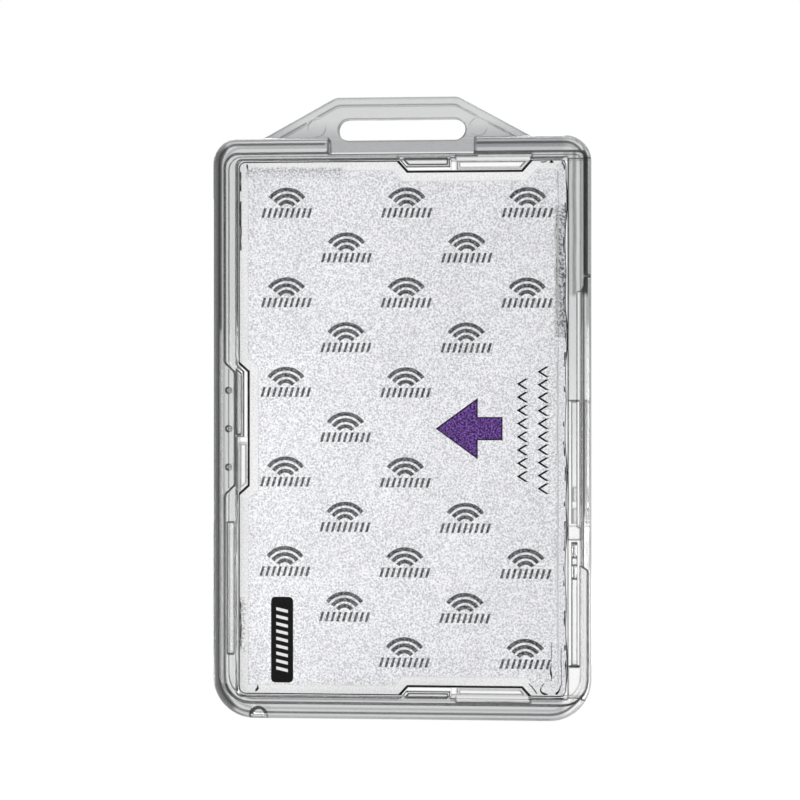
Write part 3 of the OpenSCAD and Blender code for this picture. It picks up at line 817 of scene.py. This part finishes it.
def point_inside(x, z, outline):
    inside = False
    for (ax, az), (bx, bz) in zip(outline, outline[1:] + outline[:1]):
        if (az > z) != (bz > z) and x < ax + (bx - ax) * (z - az) / (bz - az):
            inside = not inside
    return inside


def edge_distance(x, z, outline):
    least = 1.0
    for (ax, az), (bx, bz) in zip(outline, outline[1:] + outline[:1]):
        dx, dz = bx - ax, bz - az
        share = max(0, min(1, ((x - ax) * dx + (z - az) * dz) / (dx * dx + dz * dz)))
        least = min(least, math.hypot(x - ax - dx * share, z - az - dz * share))
    return least


def film_height(x, z, rim):
    """Depth of the film's front: a rim that lies lower than the field, gentle waves, and wrinkles."""
    base = FILM_FRONT + (SEAL_STEP if rim else 0)
    wave = WAVE_HEIGHT * (0.5 + 0.5 * noise.noise(Vector((x * WAVE_RATE, 0, z * WAVE_RATE))))
    near = max(0, 1 - math.hypot(x - WRINKLE_MIDDLE[0], z - WRINKLE_MIDDLE[1]) / WRINKLE_REACH)
    folds = abs(noise.noise(Vector((x * WRINKLE_RATES[0], WRINKLE_PLANE, z * WRINKLE_RATES[1]))))
    lift = WRINKLE_HEIGHT * near * (folds - WRINKLE_LEVEL)
    return base + wave - (lift if rim else max(0, lift) * FIELD_WRINKLE_SHARE)


def grid_points(low_corner, high_corner, pitch, seed):
    made = []
    z, row = low_corner[1], 0
    while z < high_corner[1]:
        x = low_corner[0] + (pitch / 2 if row % 2 else 0)
        while x < high_corner[0]:
            sway = noise.noise(Vector((x * SWAY_RATE, seed, z * SWAY_RATE))) * pitch * SWAY_SHARE
            made.append((x + sway, z - sway))
            x += pitch
        z += pitch * ROW_SHARE
        row += 1
    return made


def film_spots(edge, crease, field):
    """Points that fill the film, clear of its lines."""
    spots = grid_points((film_low.x, film_low.z), (film_high.x, film_high.z), FILM_GRID, FILM_SEED)
    x, z = WRINKLE_MIDDLE
    reach = WRINKLE_FIELD
    spots += grid_points((x - reach, z - reach), (x + reach, z + reach), WRINKLE_GRID, WRINKLE_SEED)
    made = []
    for x, z in spots:
        if not point_inside(x, z, edge) or edge_distance(x, z, edge) < EDGE_MARGIN:
            continue
        if min(edge_distance(x, z, crease), edge_distance(x, z, field)) >= EDGE_MARGIN:
            made.append((x, z))
    return made


def film_borders(faces, kinds):
    """The sides of faces that no other face shares, each with its face's kind."""
    borders = {}
    for face, kind in zip(faces, kinds):
        for k, start in enumerate(face):
            end = face[(k + 1) % len(face)]
            if (end, start) in borders:
                del borders[(end, start)]
            else:
                borders[(start, end)] = kind
    return borders


def build_film():
    """One closed sheet, whose rim lies lower than its field, ringed by a band of painted shadow that falls
    away behind its edge.
    """
    edge = film_outline(0, 0)
    crease = film_outline(SEAL_W, SEAL_W)
    field = film_outline(SEAL_W + CREASE_W, SEAL_W + CREASE_W)
    shadow_outline = film_outline(-EDGE_SHADOW_W, -NOTCH_SHADOW_W)
    points, heights, lines = [], [], []
    for outline, rim, fall in ((shadow_outline, True, SHADOW_FALL), (edge, True, 0), (crease, True, 0), (field, False, 0)):
        start, count = len(points), len(outline)
        points += outline
        heights += [film_height(x, z, rim) + fall for x, z in outline]
        lines += [(start + k, start + (k + 1) % count) for k in range(count)]
    for x, z in film_spots(edge, crease, field):
        points.append((x, z))
        heights.append(film_height(x, z, not point_inside(x, z, field)))

    flat = [Vector(point) for point in points]
    spread, _, faces, sources, _, _ = geometry.delaunay_2d_cdt(flat, lines, [], 1, MERGE_DISTANCE)
    front = [(v.x, heights[source[0]] if source else film_height(v.x, v.y, True), v.y)
             for v, source in zip(spread, sources)]
    rear = [(x, y + FILM_T, z) for x, y, z in front]
    count = len(front)
    kinds = []
    for face in faces:
        x = sum(spread[k].x for k in face) / len(face)
        z = sum(spread[k].y for k in face) / len(face)
        if not point_inside(x, z, edge):
            kinds.append(SHADOW_BAND)
        else:
            kinds.append(FIELD if point_inside(x, z, field) or x > film_high.x - PLAIN_SIDE_W else RIM)
    made, made_kinds = [], []
    for face, kind in zip(faces, kinds):
        made += [list(face), [k + count for k in reversed(face)]]
        made_kinds += [kind, kind]
    for (start, end), kind in film_borders(faces, kinds).items():
        made.append([end, start, start + count, end + count])
        made_kinds.append(kind)

    film = new_object("silver_film", front + rear, made, (FILM, FILM_RIM, EDGE_SHADOW_INK))
    film.data.polygons.foreach_set("material_index", made_kinds)
    film.data.validate()
    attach(film, "holder")
    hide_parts("shield_film")


build_film()

# Painted shade along the film's edge: small dark marks, soft shade of folds, and broken shadow lines

# Each mark is a run of photograph pixels with the stroke's width there, also in pixels
# Small dark marks at the film's corners and low on the right, drawn in the edge-shadow ink
DARK_MARKS = (
    ((549.2, 164.2, 0.8), (551.2, 163.6, 2.6), (553.2, 164.2, 0.8)),
    ((562.0, 163.0, 1.0), (561.8, 164.8, 1.4), (563.2, 166.4, 1.2), (563.9, 168.6, 1.4), (563.6, 171.4, 1.0)),
    ((550.9, 661.0, 0.5), (550.4, 668.0, 1.2), (550.6, 671.5, 2.0), (551.2, 675.0, 0.9), (550.6, 679.0, 0.5)),
    ((543.6, 681.6, 0.8), (541.2, 684.6, 1.2), (540.4, 688.4, 1.3), (541.8, 690.8, 1.8), (544.2, 691.8, 2.2),
     (547.4, 692.4, 0.8)),
    ((555.4, 692.0, 2.2), (557.0, 690.6, 2.0), (558.8, 688.0, 1.2), (560.2, 683.6, 0.8)),
    ((257.6, 684.6, 0.8), (257.2, 686.6, 1.0), (257.4, 688.6, 2.0), (256.0, 690.6, 2.4), (255.2, 692.2, 0.8)),
    ((246.4, 163.8, 1.4), (246.8, 166.2, 1.6), (247.2, 168.4, 0.8)),
)
# Soft painted shade of folds near the film's edges
SOFT_MARKS = (
    ((528.4, 681.8, 0.9), (531.6, 684.8, 1.3), (534.2, 688.2, 1.4), (536.8, 691.8, 1.0)),
    ((540.4, 163.4, 1.0), (543.0, 163.8, 1.3), (546.4, 163.2, 1.0)),
    ((551.0, 640.0, 0.5), (551.2, 650.0, 0.8), (550.8, 660.0, 0.5)),
    ((560.9, 646.0, 0.6), (560.6, 660.0, 0.9), (561.0, 672.0, 0.7), (560.7, 684.0, 0.8)),
)
MARK_STEPS = 4
LEAST_MARK_W = 0.03 * MM
EDGE_LINE_W = 0.17 * MM
EDGE_LINE_STEP = 0.8 * MM
EDGE_LINE_INSET = 0.15 * MM
EDGE_LINE_SWAY = 0.12 * MM
# Its width as a share: the least, how much it grows with its strength, and the most
EDGE_LINE_SHARES = (0.5, 3, 1.4)
EDGE_BREAK_RATE = 700
EDGE_BREAK_PLANE = 3
EDGE_SWAY_RATE = 900
EDGE_SWAY_PLANE = 9
# Runs of the broken edge line: right or left, photograph rows from low to high, seed, how whole it is
EDGE_RUNS = ((1, 688, 185, 1, 0.06), (-1, 250, 166, 5, 0.4), (-1, 652, 596, 8, 0.15))


def ribbon(points):
    """The two sides of a stroke through (x, z, width) points, smoothed between them."""
    fine = []
    for k in range(len(points) - 1):
        a, b = points[max(k - 1, 0)], points[k]
        c, d = points[k + 1], points[min(k + 2, len(points) - 1)]
        for step in range(MARK_STEPS):
            t = step / MARK_STEPS
            fine.append([0.5 * (2 * q + (r - p) * t + (2 * p - 5 * q + 4 * r - w) * t ** 2
                         + (3 * q - p - 3 * r + w) * t ** 3) for p, q, r, w in zip(a, b, c, d)])
    fine.append(list(points[-1]))
    sides = []
    for k, (x, z, width) in enumerate(fine):
        before, after = fine[max(k - 1, 0)], fine[min(k + 1, len(fine) - 1)]
        along = Vector((after[0] - before[0], after[1] - before[1])).normalized()
        half = max(width, LEAST_MARK_W) / 2
        sides.append(((x - along.y * half, z + along.x * half), (x + along.y * half, z - along.x * half)))
    return sides


def pixel_marks(marks):
    return [ribbon([(pixel_x(px), pixel_z(py), width / PIXELS_PER_MM * MM) for px, py, width in mark])
            for mark in marks]


def edge_lines(side, first_row, last_row, seed, share):
    """A broken line of painted shadow along the film's left or right edge, where it stands off the sheet
    behind.
    """
    made, run = [], []
    least, gain, most = EDGE_LINE_SHARES
    first_z = pixel_z(first_row)
    count = int((pixel_z(last_row) - first_z) / EDGE_LINE_STEP)
    for k in range(count + 1):
        z = first_z + k * EDGE_LINE_STEP
        x = film_high.x - slack_edge(z) if side > 0 else film_low.x
        amount = noise.noise(Vector((seed, EDGE_BREAK_PLANE, z * EDGE_BREAK_RATE))) + share
        if amount > 0 and k < count:
            sway = noise.noise(Vector((seed, EDGE_SWAY_PLANE, z * EDGE_SWAY_RATE))) * EDGE_LINE_SWAY
            width = EDGE_LINE_W * min(most, least + gain * amount)
            run.append((x - side * (EDGE_LINE_INSET + abs(sway)), z, width))
            continue
        if len(run) > 1:
            made.append(ribbon(run))
        run = []
    return made


def film_strokes(name, ribbons, material):
    """Closed strokes, each as thick as the ink, that lie on the film and follow its height."""
    field = film_outline(SEAL_W + CREASE_W, SEAL_W + CREASE_W)
    points, faces = [], []
    for sides in ribbons:
        start = len(points)
        for pair in sides:
            for x, z in pair:
                front = film_height(x, z, not point_inside(x, z, field)) - INK_T
                points += [(x, front, z), (x, front + INK_T, z)]
        for k in range(start, start + 4 * (len(sides) - 1), 4):
            for a, b in ((0, 2), (2, 3), (3, 1), (1, 0)):
                faces.append([k + a, k + b, k + 4 + b, k + 4 + a])
        last = len(points) - 4
        faces.append([start, start + 1, start + 3, start + 2])
        faces.append([last, last + 2, last + 3, last + 1])
    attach(new_object(name, points, faces, [material]), "holder")


film_strokes("film_dark_marks", pixel_marks(DARK_MARKS), EDGE_SHADOW_INK)
film_strokes("film_fold_shade", pixel_marks(SOFT_MARKS), FOLD_SHADE)
film_strokes("film_edge_lines", [line for run in EDGE_RUNS for line in edge_lines(*run)], EDGE_SHADOW_INK)


# The repeated print: three waves over a hatched bar, in staggered rows

ROW_PITCH = 7.27 * MM
COLUMN_PITCH = 19.5 * MM
FIRST_ROW = (-18.9 * MM, -13.1 * MM)
WAVE_RADII = (3.75 * MM, 2.75 * MM, 1.75 * MM)
WAVE_WIDTH = 0.62 * MM
WAVE_HALF_ANGLE = math.radians(54)
HATCH_COUNT = 9
HATCH_PITCH = 0.93 * MM
HATCH_WIDTH = 0.42 * MM
HATCH_HEIGHT = 1.55 * MM
HATCH_SLANT = 0.45 * MM
HATCH_DROP = 0.35 * MM
# Which columns each row prints, from the left; the arrow, the label and the marks leave the rest bare
ROWS = (
    (0, 2, 4), (1, 3), (0, 2, 4), (1, 3), (0, 2), (1,),
    (0, 2), (1, 3), (0, 2, 4), (1, 3), (2, 4),
)


def tilted(outlines):
    """The print lies a little askew on the shield."""
    return [turned(outline, shield_middle, PRINT_TILT) for outline in outlines]


def hatch(centre, count, pitch, width, height, slant):
    """A row of slanted strokes."""
    made = []
    for k in range(count):
        x = centre[0] + (k - (count - 1) / 2) * pitch
        low, high = centre[1] - height / 2, centre[1] + height / 2
        made.append([(x - slant / 2 - width / 2, low), (x - slant / 2 + width / 2, low),
                     (x + slant / 2 + width / 2, high), (x + slant / 2 - width / 2, high)])
    return made


waves, bars = [], []
for row, columns in enumerate(ROWS):
    for column in columns:
        centre = (FIRST_ROW[0] + column * COLUMN_PITCH / 2, FIRST_ROW[1] - row * ROW_PITCH)
        waves += [arc_band(centre, r, WAVE_WIDTH, WAVE_HALF_ANGLE) for r in WAVE_RADII]
        bar_middle = (centre[0], centre[1] - HATCH_DROP)
        bars += hatch(bar_middle, HATCH_COUNT, HATCH_PITCH, HATCH_WIDTH, HATCH_HEIGHT, HATCH_SLANT)
flat_piece("print_waves", tilted(waves), INK_FRONT, INK_T, GREY_INK)
flat_piece("print_bars", tilted(bars), INK_FRONT, INK_T, GREY_INK)

# The arrow that shows the way in

ARROW_TIP = (pixel_x(436), pixel_z(428.5))
ARROW_HEAD_L = 6.8 * MM
ARROW_HEAD_W = 9.9 * MM
ARROW_SHAFT_L = 4.0 * MM
ARROW_SHAFT_W = 3.75 * MM
ARROW_EDGE_W = 0.22 * MM


def drawn_in(outline, inset):
    """The same outline, each side moved inwards by an inset; its corners run anticlockwise."""
    made = []
    for k, (x, z) in enumerate(outline):
        before, after = outline[k - 1], outline[(k + 1) % len(outline)]
        arrive = Vector((x - before[0], z - before[1])).normalized()
        leave = Vector((after[0] - x, after[1] - z)).normalized()
        inward = Vector((-arrive.y - leave.y, arrive.x + leave.x))
        inward *= inset / (1 + arrive.dot(leave))
        made.append((x + inward.x, z + inward.y))
    return made


neck = ARROW_TIP[0] + ARROW_HEAD_L
tail = neck + ARROW_SHAFT_L
mid = ARROW_TIP[1]
arrow_line = [
    ARROW_TIP, (neck, mid - ARROW_HEAD_W / 2), (neck, mid - ARROW_SHAFT_W / 2),
    (tail, mid - ARROW_SHAFT_W / 2), (tail, mid + ARROW_SHAFT_W / 2),
    (neck, mid + ARROW_SHAFT_W / 2), (neck, mid + ARROW_HEAD_W / 2)]
flat_piece("arrow_edge", [arrow_line], INK_FRONT, INK_T, ARROW_INK)
flat_piece("arrow_print", [drawn_in(arrow_line, ARROW_EDGE_W)], INK_FRONT - INK_T, INK_T, PURPLE_INK)

# Two columns of plain chevrons beside the arrow: photograph column, first and last row, and count

CHEVRON_COLUMNS = ((543, 372, 488, 10), (522.5, 384, 476, 8))
CHEVRON_W = 1.9 * MM
CHEVRON_H = 1.7 * MM
CHEVRON_STROKE = 0.546 * MM


def chevron(centre):
    """A plain angle mark that points to the left."""
    left, right = centre[0] - CHEVRON_W / 2, centre[0] + CHEVRON_W / 2
    half = CHEVRON_H / 2
    return [(left, centre[1]), (right - CHEVRON_STROKE, centre[1] - half), (right, centre[1] - half),
            (left + CHEVRON_STROKE, centre[1]), (right, centre[1] + half),
            (right - CHEVRON_STROKE, centre[1] + half)]


def chevron_column(px, first_py, last_py, count):
    return [chevron((pixel_x(px), pixel_z(first_py + (last_py - first_py) * k / (count - 1))))
            for k in range(count)]


marks = [mark for column in CHEVRON_COLUMNS for mark in chevron_column(*column)]
flat_piece("side_marks", marks, INK_FRONT, INK_T, BLACK_INK)

# The black label low on the left, with plain white strokes

LABEL_MIDDLE = (pixel_x(282), pixel_z(640))
LABEL_SIZE = (3.6 * MM, 13.9 * MM)
LABEL_CORNER_R = 0.7 * MM
LABEL_COUNT = 9
LABEL_PITCH = 1.2 * MM
LABEL_STROKE_W = 0.5 * MM
LABEL_STROKE_L = 1.9 * MM
LABEL_SLANT = 0.45 * MM
flat_piece("label", [round_box(LABEL_MIDDLE, LABEL_SIZE, LABEL_CORNER_R)], INK_FRONT, INK_T, BLACK_INK)
strokes = hatch((0, 0), LABEL_COUNT, LABEL_PITCH, LABEL_STROKE_W, LABEL_STROKE_L, LABEL_SLANT)
upright_strokes = [[(LABEL_MIDDLE[0] + z, LABEL_MIDDLE[1] - x) for x, z in stroke] for stroke in strokes]
flat_piece("label_strokes", upright_strokes, INK_FRONT - INK_T, INK_T, WHITE_INK)

# Tape strips behind the shield, their ends cut by a toothed blade

TAPE_CLEAR = 0.02 * MM
TAPE_TOOTH = 0.5 * MM
TAPE_BITE = 0.2 * MM


def tape_strip(node_name):
    """One strip, a hair clear of the plastic that it sticks to."""
    low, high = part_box(node_name)
    upright = high.z - low.z > high.x - low.x
    width = high.x - low.x if upright else high.z - low.z
    length = high.z - low.z if upright else high.x - low.x
    count = 2 * max(2, round(width / TAPE_TOOTH / 2))
    across = [(TAPE_BITE * (k % 2), width * k / count) for k in range(count + 1)]
    outline = across[::-1] + [(length - bite, v) for bite, v in across]
    if upright:
        outline = [(high.x - v, low.z + u) for u, v in outline]
    else:
        outline = [(low.x + u, low.z + v) for u, v in outline]
    strip = flat_piece(node_name + "_strip", [outline], low.y, high.y - low.y - TAPE_CLEAR, TAPE)
    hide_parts(node_name)


for tape_name in ("tape_top", "tape_left", "tape_right"):
    tape_strip(tape_name)
